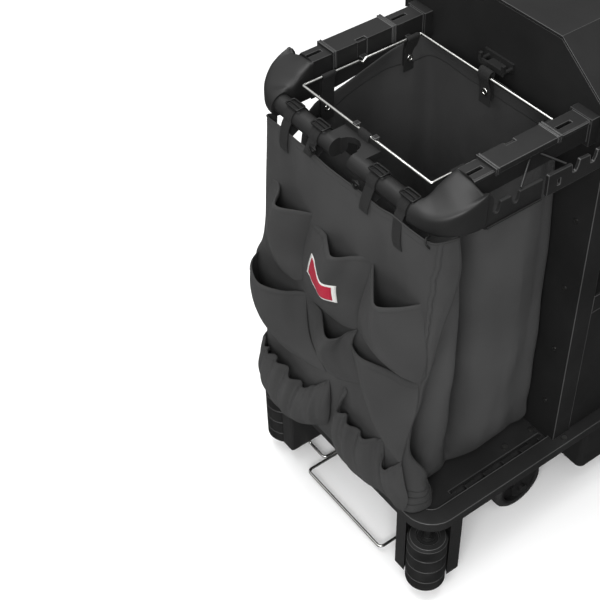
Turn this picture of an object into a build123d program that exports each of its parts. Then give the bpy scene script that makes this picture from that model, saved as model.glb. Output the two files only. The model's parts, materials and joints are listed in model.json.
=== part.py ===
from build123d import *
import os

# Housekeeping cart: a bag end towards -X, a shelf cabinet under a hood towards +X.
# The open side of the cabinet faces -Y. Millimetres, +Z up, floor at z = 0.

os.makedirs("parts", exist_ok=True)

# ---- driving dimensions ----
panel_x = -146.5            # bag-side face of the bag-end panel, the main datum along X
panel_deep = 44.0           # end panels, front to back of the moulding
cabinet_len = 610.0         # over both end panels
half_wide = 250.0           # cabinet half width
skin = 5.0                  # moulded wall thickness

deck_end = panel_x - 352.0  # bag end of the deck
deck_far = panel_x + 650.0  # push-handle end of the deck
deck_half = 271.5
deck_corner_r = 62.0
rim_top = 238.0
rim_bottom = 214.0
rim_wide = 35.0
floor_top = 228.0
floor_thick = 6.0
floor_low = floor_top - floor_thick

ridge_y = 127.0             # hood: flat top out to here, then sloping to the eaves
ridge_z = 1124.0
eave_z = 1032.0
hood_thick = 4.0
hinge_r = 5.0
hinge_y = 140.0
hinge_z = 1110.0

rail_top = 1023.0
rail_in = 184.0
rail_out = 221.0
rail_tall = 42.0
rail_start = panel_x - 262.0

tube_r = 17.0
tube_x = panel_x - 334.0
tube_z = 973.0
organizer_x = panel_x - 367.0
strap_ys = (136.0, 65.0, -86.0, -161.5)  # straps that hold the organizer on the tube
collar_y = 178.0
collar_r = 22.0
ledge_out = 256.0
ledge_thick = 6.0
ledge_bottom = 948.0
ledge_top = 988.0
ledge_split = 146.0         # distance from the panel to the gap in the tool ledge

ring_z = 1000.0
ring_r = 2.75
ring_x0 = panel_x - 297.0
ring_x1 = panel_x - 38.0
ring_y = 166.0

wheel_r = 63.5
wheel_wide = 32.0
wheel_y = 189.5
swivel_x = panel_x + 5.0
trail = 33.0
fork_top = 153.7
mount_z = 160.0
fixed_x = panel_x + 452.0
pedal_x = swivel_x - 17.0
pedal_z = 137.0
door_pin_x = panel_x + cabinet_len - panel_deep - 8
door_pin_y = -half_wide + 6

roller_r = 40.5
roller_x = 321.0            # distance of the bag-end rollers from the panel
roller_y = 242.0
roller_low = 34.0
roller_high = 179.0
housing_low = 44.0

rack_z = 21.0
wire_r = 3.0
rack_x0 = panel_x - 344.0
rack_x1 = panel_x - 126.0
rack_y = 127.0
carrier_y = 134.0

push_x = panel_x + 686.0
push_r = 16.0
push_z = 1000.0
push_y = 170.0

mirror_x = (deck_end + deck_far) / 2


def finish(builder, label):
    builder.part.label = label
    export_step(builder.part, "parts/" + label + ".step")


def block(x0, x1, y0, y1, z0, z1, mode=Mode.ADD):
    with Locations(((x0 + x1) / 2, (y0 + y1) / 2, (z0 + z1) / 2)):
        Box(abs(x1 - x0), abs(y1 - y0), abs(z1 - z0), mode=mode)


def rod(centre, radius, length, along, mode=Mode.ADD):
    turn = {"x": (0, 90, 0), "y": (90, 0, 0), "z": (0, 0, 0)}[along]
    with Locations(Location(centre, turn)):
        Cylinder(radius, length, mode=mode)


def wire(points, corner_r, radius):
    with BuildLine() as path:
        FilletPolyline(*points, radius=corner_r)
    with BuildSketch(Plane(origin=path.line @ 0, z_dir=path.line % 0)) as section:
        Circle(radius)
    sweep(sections=section.sketch, path=path.line)


# ---- deck and chassis ----
def base_deck():
    mid_x = (deck_end + deck_far) / 2
    length = deck_far - deck_end
    with BuildPart() as deck:
        with BuildSketch(Plane.XY.offset(rim_bottom)):
            with Locations((mid_x, 0)):
                RectangleRounded(length, 2 * deck_half, deck_corner_r)
        extrude(amount=rim_top - rim_bottom)
        with BuildSketch(Plane.XY.offset(floor_top)):
            with Locations((mid_x, 0)):
                RectangleRounded(length - 2 * rim_wide, 2 * (deck_half - rim_wide), deck_corner_r - rim_wide)
        extrude(amount=rim_top - floor_top, mode=Mode.SUBTRACT)
        with BuildSketch(Plane.XY.offset(rim_bottom)):
            with Locations((mid_x, 0)):
                RectangleRounded(length - 2 * skin, 2 * (deck_half - skin), deck_corner_r - skin)
        extrude(amount=floor_low - rim_bottom, mode=Mode.SUBTRACT)
        slot_mid = panel_x - 124
        for side in (-1, 1):
            block(panel_x - 246, panel_x - 2, side * 214, side * 222, floor_low - 1,
                  floor_top + 1, Mode.SUBTRACT)
            for k in range(5):
                tooth_x = slot_mid + (k - 2) * 49
                block(tooth_x - 11, tooth_x + 11, side * 221, side * 232, floor_low - 1,
                      floor_top + 1, Mode.SUBTRACT)
        edges = deck.edges().filter_by(Plane.XY).group_by(Axis.Z)[-1]
        fillet(edges, 2.0)
        for side in (-1, 1):
            block(panel_x - 335, panel_x - 60, side * 98, side * 102, rim_bottom, floor_low)
    finish(deck, "base_deck")


def corner_housings():
    reach_x = (panel_x - 350, panel_x - 253)
    reach_y = (177.0, 270.0)
    with BuildPart() as housings:
        for end in (0, 1):
            x0, x1 = [x if end == 0 else 2 * mirror_x - x for x in reach_x]
            bolt_x = panel_x - roller_x
            bolt_x = bolt_x if end == 0 else 2 * mirror_x - bolt_x
            for side in (-1, 1):
                with BuildSketch(Plane.XY.offset(housing_low)):
                    with Locations(((x0 + x1) / 2, side * sum(reach_y) / 2)):
                        RectangleRounded(abs(x1 - x0), reach_y[1] - reach_y[0], 7)
                    with Locations((bolt_x, side * roller_y)):
                        Circle(roller_r + 3, mode=Mode.SUBTRACT)
                    if end == 0:
                        with Locations((panel_x - 294, side * 190)):
                            Circle(wire_r, mode=Mode.SUBTRACT)
                extrude(amount=rim_bottom - housing_low)
    finish(housings, "corner_housings")


def corner_rollers():
    step = (roller_high - roller_low) / 4
    spots = {"front_near": (0, -1), "front_far": (0, 1), "rear_near": (1, -1), "rear_far": (1, 1)}
    for name, (end, side) in spots.items():
        x = panel_x - roller_x
        x = x if end == 0 else 2 * mirror_x - x
        with BuildPart() as roller:
            with BuildSketch(Plane.XZ):
                with BuildLine():
                    low = [(8.06, roller_low + 12), (19, roller_low + 12), (19, roller_low)]
                    rim = [(roller_r - 6, roller_low), (roller_r, roller_low + 9)]
                    for k in (1, 2, 3):
                        z = roller_low + k * step
                        rim += [(roller_r, z - 1.2), (roller_r - 1.6, z), (roller_r, z + 1.2)]
                    rim += [(roller_r, roller_high - 5), (roller_r - 5, roller_high)]
                    top = [(24, roller_high), (22, roller_high - 6), (8.06, roller_high - 6)]
                    Polyline(*(low + rim + top), close=True)
                make_face()
            revolve(axis=Axis.Z)
        roller.part.position = (x, side * roller_y, 0)
        finish(roller, "bumper_roller_" + name)


def roller_bolts():
    with BuildPart() as bolts:
        for end in (0, 1):
            x = panel_x - roller_x
            x = x if end == 0 else 2 * mirror_x - x
            for side in (-1, 1):
                y = side * roller_y
                rod((x, y, (roller_low + 2 + rim_bottom) / 2), 8.0, rim_bottom - roller_low - 2, "z")
                rod((x, y, roller_low + 6.5), 14.0, 9.0, "z")
                rod((x, y, roller_high - 3.5), 14.0, 4.0, "z")
                rod((x, y, (rim_bottom - 8 + floor_low) / 2), 11.5, floor_low - rim_bottom + 8, "z")
    finish(bolts, "roller_bolts")


def caster_channel():
    with BuildPart() as channel:
        block(swivel_x - 40, swivel_x + 40, -235, 235, mount_z + 4, floor_low)
        block(swivel_x - 36, swivel_x + 36, -236, 236, mount_z + 8, floor_low - 4, Mode.SUBTRACT)
    finish(channel, "caster_channel")


def underbody_box():
    x0 = panel_x + 108
    x1 = panel_x + 530
    with BuildPart() as box:
        with BuildSketch(Plane.XY.offset(60)):
            with Locations(((x0 + x1) / 2, 0)):
                RectangleRounded(x1 - x0, 2 * half_wide, 14)
                RectangleRounded(x1 - x0 - 8, 2 * half_wide - 8, 10, mode=Mode.SUBTRACT)
        extrude(amount=floor_low - 60)
        bottom = box.edges().group_by(Axis.Z)[0]
        fillet(bottom, 1.5)
    finish(box, "underbody_box")


# ---- cabinet ----
def panel_outline(drop, foot):
    points = [(-half_wide, 238), (-half_wide, eave_z - drop), (-ridge_y, ridge_z - drop),
              (ridge_y, ridge_z - drop), (half_wide, eave_z - drop), (half_wide, 238),
              (foot, 238), (foot, floor_top), (-foot, floor_top), (-foot, 238)]
    return points


def end_panels():
    far_x0 = panel_x + cabinet_len - panel_deep
    for name, x0, foot in (("end_panel_bag_side", panel_x, deck_half - rim_wide - 1),
                           ("end_panel_handle_side", far_x0, deck_half - deck_corner_r - 1)):
        with BuildPart() as panel:
            with BuildSketch(Plane.YZ.offset(x0)):
                with BuildLine():
                    Polyline(*panel_outline(hood_thick + 2, foot), close=True)
                make_face()
            extrude(amount=panel_deep)
            recess_x = x0 if x0 == far_x0 else x0 + skin
            with BuildSketch(Plane.YZ.offset(recess_x)):
                with BuildLine():
                    Polyline((-half_wide + 22, 262), (-half_wide + 22, eave_z - 30),
                             (-ridge_y + 6, ridge_z - 26), (ridge_y - 6, ridge_z - 26),
                             (half_wide - 22, eave_z - 30), (half_wide - 22, 262), close=True)
                make_face()
            extrude(amount=panel_deep - skin, mode=Mode.SUBTRACT)
        finish(panel, name)


def back_panel():
    with BuildPart() as back:
        block(panel_x + panel_deep, panel_x + cabinet_len - panel_deep, half_wide - skin, half_wide,
              rim_top, eave_z - hood_thick - 2)
    finish(back, "back_panel")


def shelves():
    x0 = panel_x + panel_deep
    x1 = panel_x + cabinet_len - panel_deep
    with BuildPart() as pair:
        for z, lip in ((612.0, 36.0), (800.0, 30.0)):
            block(x0, x1, -half_wide, half_wide - skin, z - 4, z)
            block(x0, x1, -half_wide, -half_wide + 5, z - lip, z)
            block(x0, x1, -half_wide + 5, -half_wide + 13, z - lip, z - lip + 4)
            block(x0, x1, -half_wide, -half_wide + 4, z, z + 5)
            for k in (1, 2, 3):
                block(x0, x1, -half_wide + 120 * k, -half_wide + 120 * k + 4, z - 14, z - 4)
    finish(pair, "shelves")


def top_tray():
    x0 = panel_x + panel_deep
    x1 = panel_x + cabinet_len - panel_deep
    with BuildPart() as tray:
        block(x0, x1, -half_wide + 6, half_wide - skin, 946, 992)
        cells = 3
        pitch = (x1 - x0 - 4) / cells
        for k in range(cells):
            block(x0 + 4 + k * pitch, x0 + (k + 1) * pitch, -half_wide + 10, half_wide - skin - 4,
                  950, 993, Mode.SUBTRACT)
        mid = (x0 + x1) / 2
        block(mid - 10, mid + 10, -half_wide + 9, -half_wide + 12, 992, 1006)
    finish(tray, "top_tray")


def cabinet_door():
    x0 = panel_x + panel_deep + 2
    x1 = panel_x + cabinet_len - panel_deep - 2
    with BuildPart() as door:
        block(x0, door_pin_x, -half_wide + 2, -half_wide + 8, 242, 572)
        rod((door_pin_x, door_pin_y, 407), 6.0, 330, "z")
        rod((door_pin_x, door_pin_y, 407), 3.05, 332, "z", Mode.SUBTRACT)
        block(x0, x1 - 60, -half_wide + 8, -half_wide + 12, 260, 264)
        block(x0, x1 - 60, -half_wide + 8, -half_wide + 12, 550, 554)
        block(x0 + 60, x0 + 200, -half_wide - 6, -half_wide + 2, 562, 566)
        block(x0 + 60, x0 + 200, -half_wide - 6, -half_wide - 2, 554, 562)
    finish(door, "cabinet_door")


def hinge_pins():
    with BuildPart() as pins:
        rod((panel_x + cabinet_len / 2, hinge_y, hinge_z), 2.5, 500, "x")
        rod((door_pin_x, door_pin_y, (rim_top + 576) / 2), 3.0, 576 - rim_top, "z")
    finish(pins, "hinge_pins")


def hood():
    x0 = panel_x - 1
    x1 = panel_x + cabinet_len + 1
    rise = (ridge_z - eave_z) / (half_wide - ridge_y)
    with BuildPart() as rear:
        with BuildSketch(Plane.YZ.offset(x0)):
            with BuildLine():
                start_y = hinge_y + 7
                start_z = ridge_z - (start_y - ridge_y) * rise
                eave = half_wide + 4
                Polyline((start_y, start_z), (eave, eave_z - 4 * rise), (eave, 1000), (eave - 3, 1000),
                         (eave - 3, eave_z - rise - hood_thick), (start_y, start_z - hood_thick),
                         close=True)
            make_face()
        extrude(amount=x1 - x0)
        for k in (-2, 0, 2):
            knuckle_x = panel_x + cabinet_len / 2 + k * 120
            rod((knuckle_x, hinge_y, hinge_z), hinge_r, 40, "x")
            block(knuckle_x - 20, knuckle_x + 20, hinge_y, hinge_y + 9, hinge_z - 8, hinge_z - 2)
            rod((knuckle_x, hinge_y, hinge_z), 2.51, 42, "x", Mode.SUBTRACT)
    finish(rear, "hood_rear")
    with BuildPart() as lid:
        with BuildSketch(Plane.YZ.offset(x0)):
            with BuildLine():
                eave = -half_wide - 4
                Polyline((eave, eave_z - 4 * rise), (-ridge_y, ridge_z), (ridge_y, ridge_z),
                         (hinge_y - 7, ridge_z - 5), (hinge_y - 7, ridge_z - 9),
                         (ridge_y - 1, ridge_z - hood_thick), (-ridge_y + 1, ridge_z - hood_thick),
                         (eave + 3, eave_z - rise - hood_thick), (eave + 3, 1006), (eave, 1006),
                         close=True)
            make_face()
        extrude(amount=x1 - x0)
        lock_x = panel_x + cabinet_len / 2
        rod((lock_x, -half_wide - 2, 1016), 7.05, 12, "y", Mode.SUBTRACT)
        for k in (-1, 1):
            knuckle_x = lock_x + k * 120
            rod((knuckle_x, hinge_y, hinge_z), hinge_r, 60, "x")
            block(knuckle_x - 30, knuckle_x + 30, hinge_y - 9, hinge_y - 2, hinge_z, hinge_z + 8)
            rod((knuckle_x, hinge_y, hinge_z), 2.55, 62, "x", Mode.SUBTRACT)
    finish(lid, "hood_lid")
    with BuildPart() as lock:
        lock_x = panel_x + cabinet_len / 2
        rod((lock_x, -half_wide - 6.2, 1016), 9.5, 4, "y")
        rod((lock_x, -half_wide + 0.8, 1016), 7.0, 10, "y")
        block(lock_x - 5, lock_x + 20, -half_wide + 5, -half_wide + 7, 1011, 1021)
        block(lock_x - 1, lock_x + 1, -half_wide - 9, -half_wide - 7, 1010, 1022, Mode.SUBTRACT)
    finish(lock, "lid_lock")


# ---- bag frame ----
def side_rails():
    wide = rail_out - rail_in
    x0 = rail_start
    low = rail_top - rail_tall
    with BuildPart() as rails:
        for side in (-1, 1):
            mid_y = side * (rail_in + rail_out) / 2
            block(x0, panel_x - 18, mid_y - wide / 2, mid_y + wide / 2, low, rail_top)
            block(x0 + 3, panel_x - 18, mid_y - wide / 2 + 3, mid_y + wide / 2 - 3, low - 1,
                  rail_top - 4, Mode.SUBTRACT)
            block(panel_x - 18, panel_x, mid_y - 24, mid_y + 24, low - 8, rail_top + 3)
            for slot_x in (panel_x - 248, panel_x - 60):
                block(slot_x - 14, slot_x + 18, side * 201, side * 208, rail_top - 5, rail_top + 1,
                      Mode.SUBTRACT)
            block(x0, panel_x - 18, side * rail_out, side * (rail_out + 2), rail_top - 7, rail_top - 2)
    finish(rails, "side_rails")


def rail_sleeves():
    with BuildPart() as sleeves:
        x0 = panel_x - 222
        x1 = panel_x - 82
        for side in (-1, 1):
            block(x0, x1, side * (rail_in - 2), side * (rail_out + 4), rail_top, rail_top + 3)
            block(x0, x1, side * (rail_in - 2), side * rail_in, rail_top - 30, rail_top)
            block(x0, x1, side * (rail_out + 2), side * (rail_out + 4), rail_top - 9, rail_top)
            for x in (x0, x1 - 8):
                for k in (0, 1):
                    block(x + 5 * k, x + 5 * k + 3, side * (rail_in - 4), side * (rail_out + 6),
                          rail_top + 3, rail_top + 5)
                    block(x + 5 * k, x + 5 * k + 3, side * (rail_in - 4), side * (rail_in - 2),
                          rail_top - 30, rail_top + 3)
                    block(x + 5 * k, x + 5 * k + 3, side * (rail_out + 4), side * (rail_out + 6),
                          rail_top - 9, rail_top + 3)
            block(panel_x - 167, panel_x - 147, side * (rail_in - 3), side * rail_in, rail_top - 31,
                  rail_top + 6, Mode.SUBTRACT)
            block(panel_x - 167, panel_x - 147, side * rail_in, side * (rail_in + 6), rail_top,
                  rail_top + 6, Mode.SUBTRACT)
    finish(sleeves, "rail_sleeves")


def ledge_profile(x0, x1, notch_xs, horn):
    """Outline of a tool ledge in the XZ plane, with round-backed notches along its top edge."""
    points = [(x0, ledge_bottom), (x1, ledge_bottom), (x1, ledge_top + 2)]
    for x in reversed(notch_xs):
        points += [(x + 8, ledge_top + 2), (x + 6, ledge_top - 10), (x + 2, ledge_top - 18),
                   (x - 5, ledge_top - 17), (x - 8, ledge_top)]
    if horn:
        points[-1] = (notch_xs[0] - 11, rail_top - 9)
        points.append((x0 + 8, rail_top - 2))
        points.append((x0, rail_top - 2))
    else:
        points.append((x0, ledge_top + 2))
    return points


def corner_castings():
    for name, side in (("near", -1), ("far", 1)):
        with BuildPart() as casting:
            with BuildSketch(Plane.XY.offset(951)):
                with BuildLine():
                    a = (rail_start, side * (rail_in - 2))
                    b = (tube_x + collar_r - 3, side * collar_y)
                    c = (tube_x - collar_r, side * collar_y)
                    d = (panel_x - 286, side * ledge_out)
                    e = (panel_x - 277, side * (ledge_out - 2))
                    f = (panel_x - 271, side * (rail_out + 2))
                    Spline(a, (panel_x - 290, side * 176), b, tangents=((-1, 0), (-0.9, -side * 0.2)))
                    Line(b, c)
                    Spline(c, (panel_x - 339, side * 222), d, tangents=((0, side), (1, side * 0.05)))
                    Line(d, e)
                    Line(e, f)
                    Line(f, (rail_start, side * (rail_out + 2)))
                    Line((rail_start, side * (rail_out + 2)), a)
                make_face()
            extrude(amount=rail_top - 951)
            slope = Plane(origin=(panel_x - 290, side * 200, rail_top), z_dir=(-0.75, side * 0.2, 1))
            split(bisect_by=slope, keep=Keep.BOTTOM)
            outer = casting.edges().filter_by(
                lambda edge: edge.length > 80 and edge.center().Z > 970 and abs(edge.center().Y) > 214)
            chamfer(outer, 4)
            with BuildSketch(Plane.XZ.offset(-side * ledge_out)):
                with BuildLine():
                    Polyline(*ledge_profile(panel_x - 290, panel_x - ledge_split,
                                            [panel_x - 243, panel_x - 204], True), close=True)
                make_face()
            extrude(amount=side * ledge_thick)
            rod((tube_x, side * (collar_y + 8), tube_z), tube_r, 16.2, "y", Mode.SUBTRACT)
            block(panel_x - 166, panel_x - 161, side * (ledge_out - 8), side * (ledge_out + 2), 957,
                  970, Mode.SUBTRACT)
        finish(casting, "corner_casting_" + name)


def tool_ledges():
    notches = [panel_x - 75 + 39.5 * k for k in range(16)]
    with BuildPart() as ledges:
        for side in (-1, 1):
            with BuildSketch(Plane.XZ.offset(-side * ledge_out)):
                with BuildLine():
                    Polyline(*ledge_profile(panel_x - 135, panel_x + cabinet_len - 4, notches, False),
                             close=True)
                make_face()
            extrude(amount=side * ledge_thick)
            block(panel_x - 112, panel_x - 107, side * (ledge_out - 8), side * (ledge_out + 2), 960,
                  973, Mode.SUBTRACT)
    finish(ledges, "tool_ledges")


def ledge_stays():
    low = (ledge_out - ledge_thick / 2)
    with BuildPart() as stays:
        for side in (-1, 1):
            for x_ledge, x_rail in ((panel_x - 190, panel_x - 147), (panel_x - 94, panel_x - 124)):
                start = Vector(x_ledge, side * (low - 2), ledge_top + 4)
                end = Vector(x_rail, side * (rail_out + 1.6), rail_top - 14)
                with BuildLine() as line:
                    Line(start, end)
                with BuildSketch(Plane(origin=start, z_dir=end - start)):
                    Circle(1.9)
                sweep(path=line.line)
    finish(stays, "ledge_stays")


def bag_end_handle():
    with BuildPart() as handle:
        rod((tube_x, 0, tube_z), tube_r, 2 * (collar_y + 16), "y")
        block(tube_x, panel_x - 300, -46, 46, tube_z + 5, tube_z + tube_r)
        with BuildSketch(Plane.XZ.offset(-46)):
            with BuildLine():
                Polyline((panel_x - 300, tube_z + 5), (panel_x - 300, tube_z + tube_r),
                         (ring_x0 - ring_r - 0.4, ring_z + ring_r - 2),
                         (ring_x0 - ring_r - 0.4, ring_z - 10), close=True)
            make_face()
        extrude(amount=92)
        with BuildSketch(Plane.XY.offset(tube_z - tube_r - 1)):
            with Locations((tube_x - 15, 0)):
                Rectangle(42, 48)
            with Locations((tube_x + 4, 0)):
                Circle(21)
        extrude(amount=2 * tube_r + 3, mode=Mode.SUBTRACT)
    finish(handle, "bag_end_handle")


def ring_hooks():
    with BuildPart() as hooks:
        x = ring_x0
        for y in (-27, 22):
            block(x - ring_r - 0.4, x + ring_r + 5, y - 5, y + 5, ring_z + ring_r + 0.3, ring_z + ring_r + 3)
            block(x + ring_r + 0.6, x + ring_r + 5, y - 5, y + 5, ring_z - 5, ring_z + ring_r + 0.3)
        for side in (-1, 1):
            y0 = side * (ring_y + ring_r + 0.4)
            block(panel_x - 164, panel_x - 150, y0, side * rail_in, ring_z - 8, ring_z - 4)
            block(panel_x - 60, panel_x - 50, y0, side * rail_in, ring_z - 8, ring_z - 4)
    finish(hooks, "ring_hooks")


def panel_hook():
    with BuildPart() as hook:
        block(panel_x - 4, panel_x, -32, 38, ring_z + 4, ring_z + 22)
        block(panel_x - 24, panel_x - 4, -16, 16, ring_z + 8, ring_z + 12)
        block(panel_x - 25, panel_x - 21, -31, 29, ring_z + 6, ring_z + 16)
        for y in (-29, 27):
            rod((panel_x - 14, y, ring_z + 12), 3.6, 22, "x")
            block(panel_x - 26, panel_x - 20, y - 3, y + 3, ring_z + 12, ring_z + 26)
    finish(hook, "panel_hook")


def bag_ring():
    y = ring_y
    x0 = ring_x0
    x1 = ring_x1
    dip = panel_x - 170
    with BuildPart() as ring:
        wire([(x0, 0, ring_z), (x0, -y, ring_z), (x1, -y, ring_z), (x1, y, ring_z),
              (dip + 8, y, ring_z), (dip, y, ring_z - 7), (dip - 8, y, ring_z), (x0, y, ring_z),
              (x0, 0.01, ring_z)], 2.5, ring_r)
    finish(ring, "bag_ring")


# ---- soft parts ----
def main_bag():
    levels = ((floor_top + 3, 163, 300, 20), (520, 203, 308, 16), (760, 205, 308, 16), (966, 178, 300, 28))
    with BuildPart() as bag:
        for inset, base, mode in ((0, 0, Mode.ADD), (3, 4, Mode.SUBTRACT)):
            for z, half_y, near, far in levels:
                first = z == levels[0][0]
                last = z == levels[-1][0]
                level = z + (base if first else 0) + (1 if last and inset else 0)
                with BuildSketch(Plane.XY.offset(level)):
                    with Locations((panel_x - (near + far) / 2, 0)):
                        RectangleRounded(near - far - 2 * inset, 2 * (half_y - inset), 40 - inset)
            loft(ruled=True, mode=mode)
    finish(bag, "main_bag")


def bag_straps():
    top = ring_z - ring_r - 1
    with BuildPart() as straps:
        for side in (-1, 1):
            for x in (panel_x - 252, panel_x - 78):
                block(x - 14, x + 14, side * 171.5, side * 173.5, 922, top)
        block(ring_x0 + 3.5, ring_x0 + 5.5, -14, 14, 922, 990)
        block(panel_x - 34, panel_x - 32, -8, 20, 922, 990)
    finish(straps, "bag_straps")


def organizer():
    face_x = organizer_x
    with BuildPart() as sheet:
        with BuildSketch(Plane.YZ.offset(face_x)):
            with BuildLine():
                Polyline((-232, 243), (250, 243), (262, 560), (240, 640), (205, 952), (-225, 958),
                         (-248, 880), (-240, 600), (-214, 466), close=True)
            make_face()
        extrude(amount=3)
    finish(sheet, "organizer_panel")
    rows = (("pockets_upper", 625, 818, 44, ((-238, -104), (-100, 74), (78, 195))),
            ("pockets_middle", 440, 600, 40, ((-232, -72), (-68, 82), (86, 250))),
            ("pockets_lower", 250, 388, 44, ((-228, -146), (-142, -16), (-12, 250))))
    for name, z0, z1, deep, spans in rows:
        with BuildPart() as pockets:
            for y0, y1 in spans:
                block(face_x - deep, face_x, y0, y1, z0, z1)
                block(face_x - deep + 3, face_x - 2, y0 + 3, y1 - 3, z0 + 3, z1 + 1, Mode.SUBTRACT)
        finish(pockets, name)


def organizer_straps():
    face_x = organizer_x
    with BuildPart() as straps:
        for y in strap_ys:
            rod((tube_x, y, tube_z), tube_r + 2.4, 25, "y")
            rod((tube_x, y, tube_z), tube_r + 0.4, 27, "y", Mode.SUBTRACT)
            block(face_x + 3.5, face_x + 5.5, y - 12.5, y + 12.5, 905, tube_z)
            block(face_x + 3.5, tube_x - tube_r - 1, y - 12.5, y + 12.5, tube_z - 2, tube_z)
    finish(straps, "organizer_straps")
    with BuildPart() as buckles:
        for y in strap_ys:
            top = tube_z + tube_r + 2.8
            block(tube_x - 2, tube_x + 16, y - 16, y + 16, top, top + 4)
            block(tube_x + 1, tube_x + 5, y - 12, y + 12, top - 1, top + 5, Mode.SUBTRACT)
            block(tube_x + 9, tube_x + 13, y - 12, y + 12, top - 1, top + 5, Mode.SUBTRACT)
    finish(buckles, "strap_buckles")


# ---- wire rack under the bag end ----
def wire_rack():
    x0 = rack_x0
    x1 = rack_x1
    y = rack_y
    with BuildPart() as rack:
        wire([(x0, 0, rack_z), (x0, -y, rack_z), (x1, -y, rack_z), (x1, y, rack_z), (x0, y, rack_z),
              (x0, 0.01, rack_z)], 10, wire_r)
    finish(rack, "wire_rack")
    with BuildPart() as carrier:
        for side in (-1, 1):
            wire([(panel_x - 294, side * 190, housing_low + 14), (panel_x - 294, side * 190, rack_z),
                  (panel_x - 294, side * carrier_y, rack_z),
                  (panel_x - 120, side * carrier_y, rack_z), (panel_x - 120, side * carrier_y, floor_low)],
                 9, wire_r)
    finish(carrier, "rack_carrier")
    with BuildPart() as guides:
        for side in (-1, 1):
            for x in (panel_x - 242, panel_x - 200):
                block(x - 6, x + 6, side * (rack_y - 5.5), side * (carrier_y + 5.5), rack_z - 5.5, rack_z + 5.5)
                rod((x, side * rack_y, rack_z), wire_r + 0.08, 14, "x", Mode.SUBTRACT)
                rod((x, side * carrier_y, rack_z), wire_r, 14, "x", Mode.SUBTRACT)
    finish(guides, "rack_guides")


# ---- wheels ----
def wheel_parts(tag, x, y):
    with BuildPart() as tyre:
        with BuildSketch(Plane.XZ):
            with BuildLine():
                half = wheel_wide / 2
                Polyline((50, -half), (58, -half), (62.6, -half + 5), (wheel_r, 0), (62.6, half - 5),
                         (58, half), (50, half), close=True)
            make_face()
        revolve(axis=Axis.Z)
    tyre.part.orientation = (90, 0, 0)
    tyre.part.position = (x, y, wheel_r)
    finish(tyre, "tyre_" + tag)
    with BuildPart() as hub:
        with BuildSketch(Plane.XZ):
            with BuildLine():
                half = wheel_wide / 2
                Polyline((5.06, -half - 1.5), (14, -half - 1.5), (16, -6), (42, -6), (44, -half),
                         (50, -half), (50, half), (44, half), (42, 6), (16, 6), (14, half + 1.5),
                         (5.06, half + 1.5), close=True)
            make_face()
        revolve(axis=Axis.Z)
    hub.part.orientation = (90, 0, 0)
    hub.part.position = (x, y, wheel_r)
    finish(hub, "hub_" + tag)


def casters():
    axle_x = swivel_x - trail
    plate_top = mount_z + 4
    with BuildPart() as plates:
        for side in (-1, 1):
            y = side * wheel_y
            block(swivel_x - 47, swivel_x + 47, y - 40, y + 40, mount_z, plate_top)
            rod((swivel_x, y, mount_z - 3), 24, 6, "z")
            rod((swivel_x, y, (141 + mount_z) / 2), 6, mount_z - 141, "z")
            rod((swivel_x, y, 143.2), 11, 4.4, "z")
            for dx in (-38, 38):
                for dy in (-30, 30):
                    rod((swivel_x + dx, y + dy, mount_z - 2.5), 6.5, 5, "z")
    finish(plates, "caster_plates")
    for name, side in (("near", -1), ("far", 1)):
        y = side * wheel_y
        with BuildPart() as fork:
            rod((swivel_x, y, (146 + fork_top) / 2), 30, fork_top - 146, "z")
            for face in (-1, 1):
                leg_y = y + face * 21.0
                with BuildSketch(Plane.XZ.offset(-leg_y - 2)):
                    with BuildLine():
                        Polyline((swivel_x - 26, fork_top), (swivel_x + 30, fork_top),
                                 (swivel_x + 34, 126), (axle_x + 27, wheel_r + 6), (axle_x + 17, wheel_r - 17),
                                 (axle_x - 8, wheel_r - 23), (axle_x - 25, wheel_r - 10),
                                 (axle_x - 30, wheel_r + 16), close=True)
                    make_face()
                extrude(amount=4)
            rod((pedal_x, y, pedal_z), 2.0, 46, "y")
            rod((swivel_x, y, 150), 6.06, 12, "z", Mode.SUBTRACT)
            rod((axle_x, y, wheel_r), 5.0, 60, "y", Mode.SUBTRACT)
        finish(fork, "caster_fork_" + name)
        with BuildPart() as axle:
            rod((axle_x, y, wheel_r), 5.0, 56, "y")
            for face in (-1, 1):
                rod((axle_x, y + face * 26, wheel_r), 10, 5.6, "y")
        finish(axle, "caster_axle_" + name)
        with BuildPart() as pedal:
            block(swivel_x - 97, pedal_x, y - 16, y + 16, pedal_z - 3, pedal_z + 1)
            block(swivel_x - 97, swivel_x - 74, y - 20, y + 20, pedal_z, pedal_z + 4)
            rod((pedal_x, y, pedal_z), 4, 35, "y")
            rod((pedal_x, y, pedal_z), 2.06, 36, "y", Mode.SUBTRACT)
        finish(pedal, "brake_pedal_" + name)
        wheel_parts("caster_" + name, axle_x, y)


def fixed_wheels():
    with BuildPart() as brackets:
        for side in (-1, 1):
            y = side * wheel_y
            block(fixed_x - 34, fixed_x + 34, y - 40, y + 40, floor_low - 5, floor_low)
            for face in (-1, 1):
                leg_y = y + face * 21.0
                with BuildSketch(Plane.XZ.offset(-leg_y - 2)):
                    with BuildLine():
                        Polyline((fixed_x - 30, 217), (fixed_x + 30, 217), (fixed_x + 13, wheel_r - 8),
                                 (fixed_x, wheel_r - 14), (fixed_x - 13, wheel_r - 8), close=True)
                    make_face()
                extrude(amount=4)
                rod((fixed_x, leg_y, wheel_r), 5.0, 8, "y", Mode.SUBTRACT)
    finish(brackets, "fixed_wheel_brackets")
    with BuildPart() as axle:
        rod((fixed_x, 0, wheel_r), 5.0, 2 * (wheel_y + 28), "y")
        for side in (-1, 1):
            rod((fixed_x, side * (wheel_y + 26), wheel_r), 9, 5, "y")
    finish(axle, "fixed_axle")
    for name, side in (("near", -1), ("far", 1)):
        wheel_parts("fixed_" + name, fixed_x, side * wheel_y)


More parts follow.
